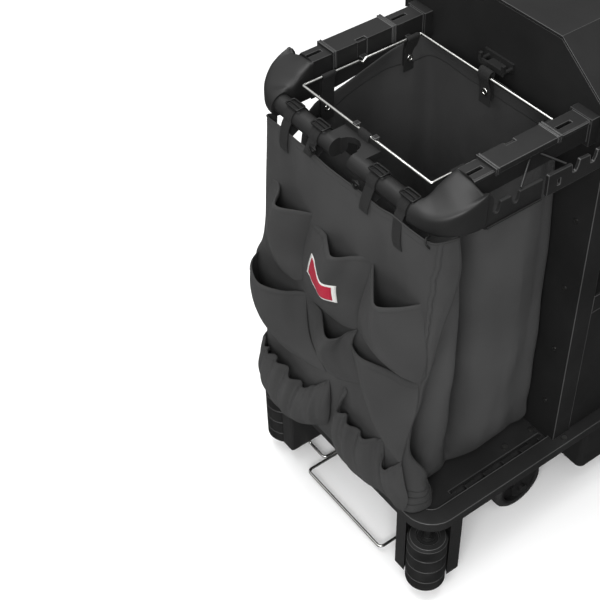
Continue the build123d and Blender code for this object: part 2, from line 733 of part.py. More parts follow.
# ---- push handle ----
def push_handle():
    x0 = panel_x + cabinet_len
    with BuildPart() as brackets:
        for side in (-1, 1):
            with BuildSketch(Plane.XY.offset(push_z - 32)):
                with BuildLine():
                    Line((x0, side * 196), (push_x - 26, side * 196))
                    Line((push_x - 26, side * 196), (push_x - 18, side * 188))
                    Line((push_x - 18, side * 188), (push_x - 18, side * push_y))
                    Line((push_x - 18, side * push_y), (push_x + 18, side * push_y))
                    Line((push_x + 18, side * push_y), (push_x + 18, side * 206))
                    ThreePointArc((push_x + 18, side * 206), (push_x + 8, side * 229), (push_x - 16, side * 238))
                    Line((push_x - 16, side * 238), (x0, side * 238))
                    Line((x0, side * 238), (x0, side * 196))
                make_face()
            extrude(amount=52)
            rod((push_x, side * (push_y + 8), push_z - 6), push_r, 16.2, "y", Mode.SUBTRACT)
        fillet(brackets.edges().group_by(Axis.Z)[-1], 4)
    finish(brackets, "push_handle_brackets")
    with BuildPart() as tube:
        rod((push_x, 0, push_z - 6), push_r, 2 * (push_y + 16), "y")
        rod((push_x, 0, push_z - 6), push_r - 2.5, 2 * (push_y + 17), "y", Mode.SUBTRACT)
    finish(tube, "push_handle_tube")


# ---- fasteners ----
def screws():
    with BuildPart() as heads:
        for side in (-1, 1):
            for x in (panel_x - 83, panel_x - 10):
                rod((x, side * 199, floor_top + 1.5), 6, 3, "z")
            rod((panel_x + 22, side * (half_wide + 10), rim_top + 1.5), 5.5, 3, "z")
            for z in (330, 480, 640, 800):
                rod((panel_x - 1.2, side * 215, z), 4, 2.4, "x")
    finish(heads, "screws")


base_deck()
corner_housings()
corner_rollers()
roller_bolts()
caster_channel()
underbody_box()
end_panels()
back_panel()
shelves()
top_tray()
cabinet_door()
hood()
hinge_pins()
side_rails()
rail_sleeves()
corner_castings()
tool_ledges()
ledge_stays()
bag_end_handle()
ring_hooks()
panel_hook()
bag_ring()
main_bag()
bag_straps()
organizer()
organizer_straps()
wire_rack()
casters()
fixed_wheels()
push_handle()
screws()
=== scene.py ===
import json
import math

import bpy
from mathutils import Matrix, Vector, noise
from mathutils.bvhtree import BVHTree


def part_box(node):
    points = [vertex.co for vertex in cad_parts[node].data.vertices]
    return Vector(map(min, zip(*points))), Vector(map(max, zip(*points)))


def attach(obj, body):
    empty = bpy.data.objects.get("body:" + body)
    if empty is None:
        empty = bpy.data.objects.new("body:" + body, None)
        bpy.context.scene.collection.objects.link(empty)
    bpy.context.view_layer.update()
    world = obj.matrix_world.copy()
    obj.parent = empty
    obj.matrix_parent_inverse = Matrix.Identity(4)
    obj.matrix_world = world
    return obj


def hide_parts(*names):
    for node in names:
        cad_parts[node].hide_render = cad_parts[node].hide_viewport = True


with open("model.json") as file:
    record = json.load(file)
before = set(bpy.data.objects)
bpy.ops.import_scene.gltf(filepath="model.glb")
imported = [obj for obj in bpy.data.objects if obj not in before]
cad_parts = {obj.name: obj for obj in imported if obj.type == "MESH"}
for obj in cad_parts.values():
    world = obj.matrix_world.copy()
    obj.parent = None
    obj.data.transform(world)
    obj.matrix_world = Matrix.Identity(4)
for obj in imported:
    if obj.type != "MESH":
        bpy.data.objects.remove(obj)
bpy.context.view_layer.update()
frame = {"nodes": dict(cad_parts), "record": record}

# Lengths are millimetres until at() turns a point into metres. x is measured from the
# bag-side face of the end panel, so the bag end of the cart is at about x = -360.
MM = 0.001
PANEL_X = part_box("end_panel_bag_side")[0].x
TUBE_Z = 973.0
TUBE_X = -334.0
TUBE_R = 17.0
SHEET_X = -360.0
RING_Z = 1000.0


def at(x, y, z):
    return Vector((PANEL_X + x * MM, y * MM, z * MM))


# ---- materials ----
def new_material(name, roughness, specular=0.5, metallic=0.0, sheen=0.0):
    material = bpy.data.materials.new(name)
    material.use_nodes = True
    shader = material.node_tree.nodes["Principled BSDF"]
    values = {"Roughness": roughness, "Specular IOR Level": specular, "Metallic": metallic,
              "Sheen Weight": sheen, "Sheen Roughness": 0.4}
    for key, value in values.items():
        shader.inputs[key].default_value = value
    return material, material.node_tree, shader


def node(tree, kind, **settings):
    made = tree.nodes.new(kind)
    for key, value in settings.items():
        if key in made.inputs:
            made.inputs[key].default_value = value
        else:
            setattr(made, key, value)
    return made


def ramp(tree, source, stops):
    """A colour ramp over source. stops are (position, (r, g, b)) pairs."""
    made = tree.nodes.new("ShaderNodeValToRGB")
    elements = made.color_ramp.elements
    while len(elements) < len(stops):
        elements.new(0.5)
    for element, (position, colour) in zip(elements, stops):
        element.position = position
        element.color = (*colour, 1.0)
    tree.links.new(source, made.inputs["Fac"])
    return made.outputs["Color"]


def noise_at(tree, scale, detail=3.0):
    """Noise in the piece's own coordinates, so it rides with the piece."""
    place = tree.nodes.new("ShaderNodeTexCoord").outputs["Object"]
    made = node(tree, "ShaderNodeTexNoise", Scale=scale, Detail=detail)
    tree.links.new(place, made.inputs["Vector"])
    return made.outputs["Fac"]


def dress(tree, shader, colour, wear, low, high, grain, depth, strength, under=None):
    """Joins a colour, a roughness that runs from low to high with wear, and a bump of grain."""
    tree.links.new(colour, shader.inputs["Base Color"])
    spread = node(tree, "ShaderNodeMapRange", **{"To Min": low, "To Max": high})
    tree.links.new(wear, spread.inputs["Value"])
    tree.links.new(spread.outputs["Result"], shader.inputs["Roughness"])
    bump = node(tree, "ShaderNodeBump", Strength=strength, Distance=depth)
    tree.links.new(grain, bump.inputs["Height"])
    if under is not None:
        tree.links.new(under, bump.inputs["Normal"])
    tree.links.new(bump.outputs["Normal"], shader.inputs["Normal"])


def grey(value):
    return (value, value, value)


def scaled(shade, factor, lift=0.0):
    return tuple(c * factor + lift for c in shade)


def drifting(tree, source, shade, share):
    """The shade, made darker and paler by a share as source wanders."""
    return ramp(tree, source, [(0.3, scaled(shade, 1 - share)), (0.7, scaled(shade, 1 + share))])


def moulded_plastic(name, shade, rough, specular):
    """Black moulded plastic: fine spark-eroded grain and a faint colour drift."""
    material, tree, shader = new_material(name, rough, specular)
    grain = noise_at(tree, 900.0, 2.0)
    dress(tree, shader, drifting(tree, noise_at(tree, 9.0), shade, 0.18),
          noise_at(tree, 40.0), rough - 0.06, rough + 0.08, grain, 0.00012, 0.7)
    return material


def woven_cloth(name, shade, pitch=0.9, rough=0.88, depth=0.00022, sheen=0.02):
    """Woven polyester. The weave follows the cloth's own coordinates, which are in metres."""
    material, tree, shader = new_material(name, rough, 0.12, sheen=sheen)
    uv = node(tree, "ShaderNodeUVMap", uv_map="cloth")
    threads = []
    for direction in ("X", "Y"):
        wave = node(tree, "ShaderNodeTexWave", wave_type="BANDS", bands_direction=direction,
                    Scale=0.314 / (pitch * MM), Distortion=0.6, Detail=1.0)
        tree.links.new(uv.outputs["UV"], wave.inputs["Vector"])
        threads.append(wave.outputs["Fac"])
    weave = node(tree, "ShaderNodeMath", operation="MAXIMUM")
    tree.links.new(threads[0], weave.inputs[0])
    tree.links.new(threads[1], weave.inputs[1])
    drift = noise_at(tree, 7.0, 4.0)
    tone = drifting(tree, drift, shade, 0.14)
    gaps = ramp(tree, weave.outputs[0], [(0.25, (0.72, 0.72, 0.72)), (0.8, (1.06, 1.06, 1.06))])
    mix = tree.nodes.new("ShaderNodeMix")
    mix.data_type = "RGBA"
    mix.blend_type = "MULTIPLY"
    mix.inputs["Factor"].default_value = 1.0
    tree.links.new(tone, mix.inputs["A"])
    tree.links.new(gaps, mix.inputs["B"])
    soft = node(tree, "ShaderNodeBump", Strength=0.35, Distance=0.004)
    tree.links.new(noise_at(tree, 16.0, 3.0), soft.inputs["Height"])
    dress(tree, shader, mix.outputs["Result"], drift, rough - 0.08, min(rough + 0.08, 1.0),
          weave.outputs[0], depth, 0.8, soft.outputs["Normal"])
    return material


def bright_metal(name, shade, rough):
    """Wire and zinc plate, with faint brushing."""
    material, tree, shader = new_material(name, rough, metallic=1.0)
    spots = noise_at(tree, 60.0)
    dress(tree, shader, ramp(tree, spots, [(0.35, scaled(shade, 0.9)), (0.7, shade)]),
          spots, rough * 0.7, rough * 1.5, noise_at(tree, 600.0), 0.00004, 0.4)
    return material


def rubber(name, shade, rough):
    """Black rubber with a little dust."""
    material, tree, shader = new_material(name, rough, 0.12)
    dust = noise_at(tree, 24.0, 5.0)
    dress(tree, shader, ramp(tree, dust, [(0.35, shade), (0.75, scaled(shade, 1.5, 0.004))]),
          dust, rough - 0.1, rough + 0.1, noise_at(tree, 420.0), 0.0002, 0.5)
    return material


def paint(name, shade, rough):
    """Smooth powder coat on a tube."""
    material, tree, shader = new_material(name, rough, 0.5)
    dress(tree, shader, drifting(tree, noise_at(tree, 11.0), shade, 0.1),
          noise_at(tree, 30.0), rough - 0.05, rough + 0.1, noise_at(tree, 1400.0), 0.00005, 0.5)
    return material


finish = {}
for make, look, *values in (
    (moulded_plastic, "deck_plastic", grey(0.014), 0.45, 0.22),
    (moulded_plastic, "cabinet_plastic", grey(0.011), 0.5, 0.18),
    (moulded_plastic, "frame_plastic", grey(0.012), 0.42, 0.24),
    (moulded_plastic, "shelf_plastic", grey(0.011), 0.55, 0.12),
    (moulded_plastic, "pedal_plastic", grey(0.009), 0.45, 0.16),
    (moulded_plastic, "buckle_plastic", grey(0.005), 0.34, 0.2),
    (moulded_plastic, "hub_plastic", grey(0.01), 0.4, 0.2),
    (rubber, "roller_rubber", grey(0.008), 0.6),
    (rubber, "tyre_rubber", grey(0.02), 0.6),
    (bright_metal, "chrome_wire", (0.62, 0.62, 0.60), 0.2),
    (bright_metal, "zinc_steel", (0.18, 0.18, 0.175), 0.36),
    (woven_cloth, "bag_fabric", grey(0.045)),
    (woven_cloth, "organizer_fabric", grey(0.036)),
    (woven_cloth, "strap_webbing", grey(0.014), 1.6, 0.8, 0.0005),
    (paint, "handle_paint", grey(0.008), 0.42),
    # These three aren't slots: a lighter plastic that paints highlights on the mouldings' edges,
    # and the sewn patch.
    (moulded_plastic, "rubbed_edge", grey(0.05), 0.36, 0.35),
    (woven_cloth, "patch_edge", (0.62, 0.62, 0.60), 0.7, 0.7),
    (woven_cloth, "patch_red", (0.36, 0.012, 0.035), 0.7, 0.7),
):
    finish[look] = make(look, *values)


def ease_edges(piece, width, degrees):
    """Rounds a moulding's edges that turn by more than an angle."""
    edge = piece.modifiers.new("eased_edges", "BEVEL")
    edge.width = width * MM
    edge.segments = 2
    edge.limit_method = "ANGLE"
    edge.angle_limit = math.radians(degrees)
    edge.harden_normals = True
    return edge


def dress_cad_nodes():
    """Each hard CAD node gets its slot's material, smooth shading and eased edges, some with a
    painted highlight.
    """
    eased = {"frame_plastic": 1.4, "deck_plastic": 1.6, "cabinet_plastic": 1.2,
             "shelf_plastic": 1.0, "pedal_plastic": 0.8, "handle_paint": 0.3,
             "buckle_plastic": 0.5, "roller_rubber": 0.6}
    for row in frame["record"]["subparts"]:
        piece = frame["nodes"][row["node"]]
        slot = row["material_slot"]
        piece.data.materials.clear()
        piece.data.materials.append(finish[slot])
        # These mouldings also take a lighter plastic that paints a highlight on their bevel
        # faces.
        if slot in eased:
            piece.data.materials.append(finish["rubbed_edge"])
        custom = piece.data.attributes.get("custom_normal")
        if custom:
            piece.data.attributes.remove(custom)
        piece.data.shade_smooth()
        weld = piece.modifiers.new("weld", "WELD")
        weld.merge_threshold = 0.00001
        edge = ease_edges(piece, eased.get(slot, 0.25), 32)
        if slot in eased:
            edge.material = 1


# ---- curves and surfaces ----
def catmull(a, b, c, d, t):
    return 0.5 * (2 * b + (c - a) * t + (2 * a - 5 * b + 4 * c - d) * t ** 2
                  + (3 * b - a - 3 * c + d) * t ** 3)


def through(points, count, loop=False):
    """Even steps along a smooth curve through the points, as a list of count points.

    A loop runs on from the last point to the first, and its first point isn't repeated.
    """
    points = [Vector(p) for p in points]
    if loop:
        ring = [points[-1]] + points + points[:2]
    elif len(points) == 2:
        return [points[0].lerp(points[1], k / (count - 1)) for k in range(count)]
    else:
        ring = [points[0] * 2 - points[1]] + points + [points[-1] * 2 - points[-2]]
    steps = 10
    fine = []
    for a, b, c, d in zip(ring, ring[1:], ring[2:], ring[3:]):
        fine += [catmull(a, b, c, d, k / steps) for k in range(steps)]
    fine.append(ring[-2])
    reach = [0.0]
    for p, q in zip(fine, fine[1:]):
        reach.append(reach[-1] + (q - p).length)
    found = []
    k = 0
    for n in range(count):
        want = reach[-1] * n / (count if loop else count - 1)
        while k < len(fine) - 2 and reach[k + 1] < want:
            k += 1
        share = (want - reach[k]) / max(reach[k + 1] - reach[k], 1e-9)
        found.append(fine[k].lerp(fine[k + 1], min(share, 1.0)))
    return found


def column_blend(rows, across, down, loop=False):
    """A grid of points over control rows: each row is resampled, then each column is smoothed."""
    rows = [through(row, across, loop) for row in rows]
    columns = [through([row[k] for row in rows], down) for k in range(across)]
    return [[column[k] for column in columns] for k in range(down)]


def coons(top, right, bottom, left, across, down):
    """A grid stretched between four border curves that meet at their ends."""
    top, bottom = through(top, across), through(bottom, across)
    left, right = through(left, down), through(right, down)
    grid = []
    for j in range(down):
        v = j / (down - 1)
        row = []
        for i in range(across):
            u = i / (across - 1)
            ruled = top[i] * (1 - v) + bottom[i] * v + left[j] * (1 - u) + right[j] * u
            corners = ((top[0] * (1 - u) + top[-1] * u) * (1 - v)
                       + (bottom[0] * (1 - u) + bottom[-1] * u) * v)
            row.append(ruled - corners)
        grid.append(row)
    return grid


def smooth_mesh(name, verts, faces):
    mesh = bpy.data.meshes.new(name)
    mesh.from_pydata(verts, [], faces)
    mesh.shade_smooth()
    return mesh


def grid_mesh(name, grid, loop=False, cap=False, ends=False):
    """Quads over a grid of millimetre points, with cloth coordinates in metres.
    cap closes the last row with one face, and ends closes the first and the last."""
    down, across = len(grid), len(grid[0])
    verts = [at(*p) for row in grid for p in row]
    faces = []
    spots = []
    along = [0.0] * across
    for i in range(1, across):
        along[i] = along[i - 1] + (grid[down // 2][i] - grid[down // 2][i - 1]).length * MM
    drop = [0.0] * down
    for j in range(1, down):
        drop[j] = drop[j - 1] + (grid[j][across // 2] - grid[j - 1][across // 2]).length * MM
    last = across if loop else across - 1
    step = along[1]
    for j in range(down - 1):
        for i in range(last):
            k = (i + 1) % across
            faces.append((j * across + i, (j + 1) * across + i,
                          (j + 1) * across + k, j * across + k))
            right = along[i] + step if loop and k == 0 else along[k]
            spots += [(along[i], drop[j]), (along[i], drop[j + 1]),
                      (right, drop[j + 1]), (right, drop[j])]
    if cap:
        faces.append(tuple((down - 1) * across + i for i in range(across)))
        spots += [(0.0, 0.0)] * across
    if ends:
        last_row = [(down - 1) * across + i for i in range(across)]
        faces += [tuple(range(across)), tuple(reversed(last_row))]
        spots += [(0.0, 0.0)] * across * 2
    mesh = smooth_mesh(name, verts, faces)
    layer = mesh.uv_layers.new(name="cloth")
    for entry, spot in zip(layer.data, spots):
        entry.uv = spot
    return mesh


def new_object(name, data):
    made = bpy.data.objects.new(name, data)
    bpy.context.scene.collection.objects.link(made)
    return made


def place(name, data, slot, look=None):
    """A new piece that rides on the cart, with its slot's finish unless look names another."""
    piece = new_object(name, data)
    data.materials.append(finish[look or slot])
    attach(piece, "cart")
    return piece


def grid_piece(name, grid, slot, loop=False, cap=False):
    return place(name, grid_mesh(name, grid, loop, cap), slot)


def thicken(piece, thickness, smooth=1):
    shell = piece.modifiers.new("thickness", "SOLIDIFY")
    shell.thickness = thickness * MM
    shell.offset = 0.0
    if smooth:
        finer = piece.modifiers.new("smooth", "SUBSURF")
        finer.levels = smooth
        finer.render_levels = smooth


def tube(name, points, radius, slot, loop=False, look=None):
    """A round wire through the points, as a curve with a bevel."""
    curve = bpy.data.curves.new(name, "CURVE")
    curve.dimensions = "3D"
    curve.bevel_depth = radius * MM
    curve.bevel_resolution = 3
    curve.use_fill_caps = True
    spline = curve.splines.new("POLY")
    spline.points.add(len(points) - 1)
    for spot, p in zip(spline.points, points):
        spot.co = (*at(*p), 1.0)
    spline.use_cyclic_u = loop
    spline.use_smooth = True
    return place(name, curve, slot, look)


def ribbon_mesh(name, path, wide, sides, thick, closed=False):
    """A flat strap along path. sides gives the strap's width direction at each path point."""
    grid = []
    for k, (p, side) in enumerate(zip(path, sides)):
        ahead = path[min(k + 1, len(path) - 1)] - path[max(k - 1, 0)]
        side = Vector(side).normalized()
        lift = ahead.cross(side).normalized() * (thick / 2)
        half = side * (wide / 2)
        trim = side * (wide / 2 - 0.6)
        grid.append([p - half, p - trim + lift, p + trim + lift, p + half,
                     p + trim - lift, p - trim - lift])
    return grid_mesh(name, grid, loop=True, ends=closed)


def strap(name, path, wide, side, thick=1.6, count=40):
    """A webbing strap through control points, with a closed flat section."""
    mesh = ribbon_mesh(name, through(path, count), wide, [side] * count, thick, closed=True)
    mesh.set_sharp_from_angle(angle=math.radians(50))
    return place(name, mesh, "strap_webbing")


def lathe(name, profile, centre, axis, slot, sides=28):
    """A turned part: profile is (radius, height) pairs along axis from centre, in millimetres."""
    axis = Vector(axis).normalized()
    one = axis.orthogonal().normalized()
    two = axis.cross(one)
    centre = Vector(centre)
    grid = []
    for radius, height in profile:
        grid.append([centre + axis * height + (one * math.cos(a) + two * math.sin(a)) * radius
                     for a in (2 * math.pi * k / sides for k in range(sides))])
    piece = grid_piece(name, grid, slot, loop=True, cap=True)
    piece.data.set_sharp_from_angle(angle=math.radians(40))
    return piece


def stitches(name, line, slot, lift=(0, 0, 0), pitch=4.0):
    """A row of thread stitches along a line of points, as small capsules moved by lift."""
    length, radius = 2.3, 0.28
    reach = sum((q - p).length for p, q in zip(line, line[1:]))
    spots = through(line, max(int(reach / pitch), 2) * 2)
    verts = []
    faces = []
    for p, q in zip(spots[::2], spots[1::2]):
        along = (q - p).normalized()
        middle = (p + q) / 2 + Vector(lift)
        one = along.orthogonal().normalized()
        two = along.cross(one)
        base = len(verts)
        for reach_k, swell in ((-0.5, 0.3), (-0.3, 1.0), (0.3, 1.0), (0.5, 0.3)):
            for k in range(5):
                turn = 2 * math.pi * k / 5
                offset = (one * math.cos(turn) + two * math.sin(turn)) * radius * swell
                verts.append(at(*(middle + along * length * reach_k + offset)))
        for ring in range(3):
            for k in range(5):
                a = base + ring * 5 + k
                b = base + ring * 5 + (k + 1) % 5
                faces.append((a, b, b + 5, a + 5))
        faces.append(tuple(base + k for k in reversed(range(5))))
        faces.append(tuple(base + 15 + k for k in range(5)))
    return place(name, smooth_mesh(name, verts, faces), slot)


# ---- corner castings ----
# Stations round the elbow from the rail to the tube, on the near side: the top's inner point, its
# outer point, and how square the section is with the depth of the valley behind the horn's tip.
ELBOW = [
    ((-262, 182, 1023), (-262, 222, 1023), (12, 0, 0)),
    ((-264, 182, 1023), (-261, 238, 1010), (12, 5, 0)),
    ((-267, 181.5, 1022.5), (-260, 255, 1020), (11, 15, 0)),
    ((-273, 180.5, 1021), (-271, 257, 1017), (10, 10, 0)),
    ((-282, 179.5, 1017), (-288, 256, 1011), (8.5, 4, 0)),
    ((-292, 178.5, 1012), (-307, 251, 1003), (7, 1, 0)),
    ((-301, 177.5, 1005), (-327, 238, 993), (6, 0, 0)),
    ((-308, 177, 1000), (-341, 221, 988), (4.8, 0, 0)),
    ((-313, 177.5, 998), (-351, 200, 988), (3.4, 0, 0)),
    ((-315, 178, 995), (-356, 178, 989), (2.4, 0, 0)),
]
ELBOW_LOW = 951.0


def corner_shell(side, label):
    """The smooth moulded horn that turns the side rail into the bag-end tube."""
    tracks = [[Vector(spot) for spot in track] for track in zip(*ELBOW)]
    stations = len(ELBOW)
    fine, around = 6, 44
    grid = []
    for n in range((stations - 1) * fine + 1):
        k = min(n // fine, stations - 2)
        t = n / fine - k
        spots = []
        for track in tracks:
            before = track[k - 1] if k else track[0] * 2 - track[1]
            after = track[k + 2] if k + 2 < stations else track[-1] * 2 - track[-2]
            spots.append(catmull(before, track[k], track[k + 1], after, t))
        inner, outer, (square, valley, unused) = spots
        row = []
        for turn in range(around):
            angle = 2 * math.pi * turn / around
            reach = math.copysign(abs(math.cos(angle)) ** (2 / square), math.cos(angle))
            lift = math.copysign(abs(math.sin(angle)) ** (2 / square), math.sin(angle))
            across = inner.lerp(outer, (reach + 1) / 2)
            crown = 1.6 * (1 - reach * reach) - valley * max(0.0, 1 - ((reach - 0.45) / 0.5) ** 2)
            height = ELBOW_LOW + (across.z + crown - ELBOW_LOW) * (lift + 1) / 2
            row.append(Vector((across.x, side * across.y, height)))
        grid.append(row if side > 0 else row[::-1])
    shrunk = []
    for row in (grid[0], grid[-1]):
        middle = sum(row, Vector()) / around
        shrunk.append([middle + (p - middle) * 0.9 for p in row])
    rows = [shrunk[0]] + grid + [shrunk[1]]
    shell = grid_piece("corner_shell_" + label, rows, "frame_plastic", loop=True, cap=True)
    shell.data.set_sharp_from_angle(angle=math.radians(50))
    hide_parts("corner_casting_" + label)
    tool_rail(side, label)


def tool_rail(side, label):
    """The upright ledge beside the casting, with round-backed notches for brush handles."""
    outline = [(-264, 948), (-146, 948), (-146, 989)]
    for x in (-204, -243):
        outline += [(x + 9, 990), (x + 7.5, 984), (x + 6, 975), (x + 2, 971), (x - 3, 971.5),
                    (x - 6, 976), (x - 7.5, 984), (x - 9, 990)]
    outline[-1] = (-250.5, 996)
    outline += [(-252, 1006), (-256, 1013), (-264, 1016)]
    verts = [at(x, side * y, z) for y in (250, 256) for x, z in outline]
    count = len(outline)
    faces = [tuple(range(count)), tuple(2 * count - 1 - k for k in range(count))]
    faces += [(k, count + k, count + (k + 1) % count, (k + 1) % count) for k in range(count)]
    if side > 0:
        faces = [face[::-1] for face in faces]
    mesh = smooth_mesh("tool_rail_" + label, verts, faces)
    rail = place("tool_rail_" + label, mesh, "frame_plastic")
    ease_edges(rail, 1.0, 40)
    lip = [(x, side * 257.6, 952) for x in (-262, -225, -190, -148)]
    tube("tool_rail_lip_" + label, lip, 2.0, "frame_plastic")


def rail_skirt(side, label):
    """The thin inner wall hanging under the side rail, cut higher toward the cabinet."""
    lower = [(-268, 950), (-223, 952), (-197, 955), (-150, 961), (-103, 967), (-60, 970)]
    rows = []
    for y, top in ((185.5, 990), (185.5, None), (183, None), (183, 990)):
        rows.append([Vector((x, side * y, top or low)) for x, low in lower])
    skirt = grid_piece("rail_skirt_" + label, rows, "frame_plastic")
    skirt.data.set_sharp_from_angle(angle=math.radians(40))


# ---- the laundry bag inside the ring ----
# Half loops on the near side, from the middle of the bag end to the middle of the panel side.
# Each level is (height at the bag end, height at the panel side, half loop of x and y).
BAG_LEVELS = [
    (938, 992,
     [(-302, -30), (-302, -110), (-297, -155), (-276, -171), (-252, -177), (-230, -172),
      (-212, -176), (-165, -179), (-112, -179), (-84, -178), (-54, -172), (-30, -156),
      (-28, -45)]),
    (894, 948,
     [(-305, -30), (-306, -115), (-302, -165), (-280, -185), (-254, -187), (-230, -172),
      (-213, -184), (-168, -191), (-118, -192), (-90, -189), (-50, -172), (-15, -152),
      (-13, -45)]),
    (790, 810,
     [(-308, -30), (-309, -118), (-306, -172), (-282, -199), (-254, -199), (-229, -168),
      (-214, -190), (-172, -203), (-126, -206), (-98, -201), (-50, -180), (-4.5, -155),
      (-4, -45)]),
    (640, 640,
     [(-309, -30), (-310, -120), (-307, -178), (-282, -206), (-250, -203), (-222, -162),
      (-206, -190), (-172, -207), (-124, -209), (-97, -203), (-50, -184), (-4.5, -162),
      (-4, -45)]),
    (480, 480,
     [(-309, -30), (-310, -118), (-308, -176), (-284, -202), (-248, -196), (-217, -155),
      (-202, -184), (-168, -205), (-122, -207), (-96, -201), (-50, -184), (-4.5, -167),
      (-4, -45)]),
    (350, 350,
     [(-307, -30), (-308, -112), (-306, -168), (-284, -192), (-246, -186), (-212, -152),
      (-196, -176), (-160, -196), (-116, -197), (-90, -192), (-48, -180), (-4.5, -170),
      (-4, -45)]),
    (268, 268,
     [(-304, -30), (-305, -106), (-302, -158), (-280, -178), (-246, -178), (-212, -160),
      (-192, -170), (-154, -181), (-110, -181), (-84, -179), (-46, -174), (-5, -172), (-4, -45)]),
    (236, 236,
     [(-296, -30), (-296, -100), (-292, -146), (-272, -164), (-242, -168), (-212, -163),
      (-190, -166), (-150, -171), (-108, -170), (-82, -168), (-46, -166), (-10, -162),
      (-9, -45)]),
]
FAR_FOLD = 5  # the point that makes the near side's deep fold, which is shallower on the far side


def bag_grid():
    """Whole loops of the bag's wall, level by level from the hem down."""
    rows = []
    for end_z, panel_z, near in BAG_LEVELS:
        far = [(x, -y) for x, y in near]
        x, y = far[FAR_FOLD]
        far[FAR_FOLD] = (x, y + 0.55 * (far[FAR_FOLD - 1][1] - y))
        row = []
        for x, y in near + far[::-1]:
            share = (x + 302) / 271
            row.append(Vector((x, y, end_z + (panel_z - end_z) * min(max(share, 0), 1))))
        rows.append(row)
    return column_blend(rows, 240, 70, loop=True)


def between(course, key):
    """The value at key on straight runs between (key, value) pairs, or None outside them."""
    for (low, at_low), (high, at_high) in zip(course, course[1:]):
        if low <= key <= high:
            return at_low + (at_high - at_low) * (key - low) / (high - low)


def crease(grid, amount, scale, seed, low=0.0):
    """Small deterministic wrinkles, stronger towards the bottom rows."""
    down = len(grid)
    for j, row in enumerate(grid):
        share = low + (1 - low) * j / (down - 1)
        for i, p in enumerate(row):
            spot = Vector((p.x / scale + seed, p.y / scale, p.z / (2.6 * scale)))
            ahead = row[(i + 1) % len(row)] - row[i - 1]
            out = Vector((ahead.y, -ahead.x, 0)).normalized()
            row[i] = p + out * noise.noise(spot) * amount * share
    return grid


def deepen_fold(grid):
    """Draws the cloth in along the near side's upright fold, which is narrow and dark."""
    course = ((230, -206), (281, -205), (497, -210), (634, -218), (844, -228), (960, -232))
    for row in grid:
        for p in row:
            fold_x = between(course, p.z)
            if p.y <= -100 and fold_x is not None:
                fade = min(1.0, (p.z - 228) / 40, (965 - p.z) / 60)
                p.y += 17 * fade * math.exp(-((p.x - fold_x) / 10) ** 2)


def main_bag():
    grid = crease(bag_grid(), 5.0, 42.0, 3.1, 0.15)
    deepen_fold(grid)
    across = len(grid[0])
    for i in range(across):
        swing = 2.5 * math.sin(10 * math.pi * i / across)
        grid[0][i].z += swing
        grid[1][i].z += swing * 0.8
    floor = []
    middle = Vector((-160, 0, 233))
    for share in (0.92, 0.6, 0.25):
        spread = [middle + (p - middle) * share for p in grid[-1]]
        floor.append([Vector((p.x, p.y, 233.5)) for p in spread])
    bag = grid_piece("laundry_bag", grid + floor, "bag_fabric", loop=True, cap=True)
    thicken(bag, 1.4)
    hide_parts("main_bag")
    hem_rows = []
    for j, inward in ((0, 0.0), (0, 1.6), (1, 2.0), (2, 2.2), (3, 2.2), (4, 1.9)):
        row = grid[j]
        hem_rows.append([inset_point(row, i, inward) for i in range(across)])
    hem_rows[0] = [p + Vector((0, 0, 1.2)) for p in hem_rows[0]]
    hem = grid_piece("laundry_bag_hem", hem_rows, "bag_fabric", loop=True)
    thicken(hem, 1.2)
    line = hem_rows[-2] + hem_rows[-2][:1]
    seam = stitches("bag_hem_stitching", line, "bag_fabric", (0, 0, 1.0))


def inset_point(row, i, amount):
    """The loop's point i, moved into the bag by amount."""
    ahead = row[(i + 1) % len(row)] - row[i - 1]
    inward = Vector((-ahead.y, ahead.x, 0)).normalized()
    return row[i] + inward * amount


def bag_hangers():
    """Webbing loops over the ring, folded down inside the bag and held with snap studs."""
    spots = [("far_end", -243, 1, 929), ("far_panel", -57, 1, 955),
             ("near_end", -243, -1, 929), ("near_panel", -57, -1, 955)]
    for name, x, side, stud_z in spots:
        y = 166.0 * side
        course = [(9, stud_z - 14), (9.5, stud_z + 14), (6.5, 988), (4.4, RING_Z),
                  (0, RING_Z + 4.2), (-4.4, RING_Z), (1, 984), (4, stud_z + 8),
                  (5.5, stud_z - 26)]
        path = [(x, y + outward * side, z) for outward, z in course]
        strap("hanger_" + name, path, 28, (1, 0, 0), 1.5)
        stud("stud_" + name, (x, y + 4.4 * side, stud_z), (0, -side, 0))
    course = [(-30, 952), (-30, 970), (-32, 990), (-29, RING_Z + 8), (-36, RING_Z + 12),
              (-41.4, RING_Z + 5), (-41.8, RING_Z - 4), (-36, 980), (-34, 966), (-34, 940)]
    strap("hanger_panel", [(x, -2, z) for x, z in course], 28, (0, 1, 0), 1.5)
    stud("stud_panel", (-35, -2, 966), (-1, 0, 0))
    course = [(-304, 915), (-304, 950), (-302, 985), (-301.2, RING_Z), (-297, RING_Z + 4.2),
              (-292.6, RING_Z), (-294, 975), (-299, 950), (-300, 910)]
    strap("hanger_end", [(x, -4, z) for x, z in course], 28, (0, 1, 0), 1.5)
    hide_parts("bag_straps")


def stud(name, centre, axis):
    """A domed snap stud with a hollow middle, from its rim inwards."""
    profile = [(7.4, 0.2), (7.2, 1.2), (6.4, 1.9), (5.0, 2.1), (3.9, 1.9), (3.4, 1.1), (2.2, 0.8),
               (0.4, 0.6)]
    lathe(name, profile, centre, axis, "chrome_wire")


# ---- the organizer sheet on the bag-end handle ----
def flat(*spots):
    """Points (x, y) of a level where the sheet hangs straight in front of the bag."""
    return [(-359, y) for y in spots]


# Rows from the near back edge, round the near fold, across the front, to the far fold.
SHEET_TOP = [
    (-308, -246, 950), (-330, -242, 950), (-349, -230, 951), (-357, -200, 955), (-359, -150, 957),
    (-357, -112, 948), (-359, -70, 952), (-357, 0, 946), (-359, 70, 952), (-357, 110, 948),
    (-359, 150, 953), (-358, 185, 950), (-352, 196, 948), (-338, 190, 946),
]
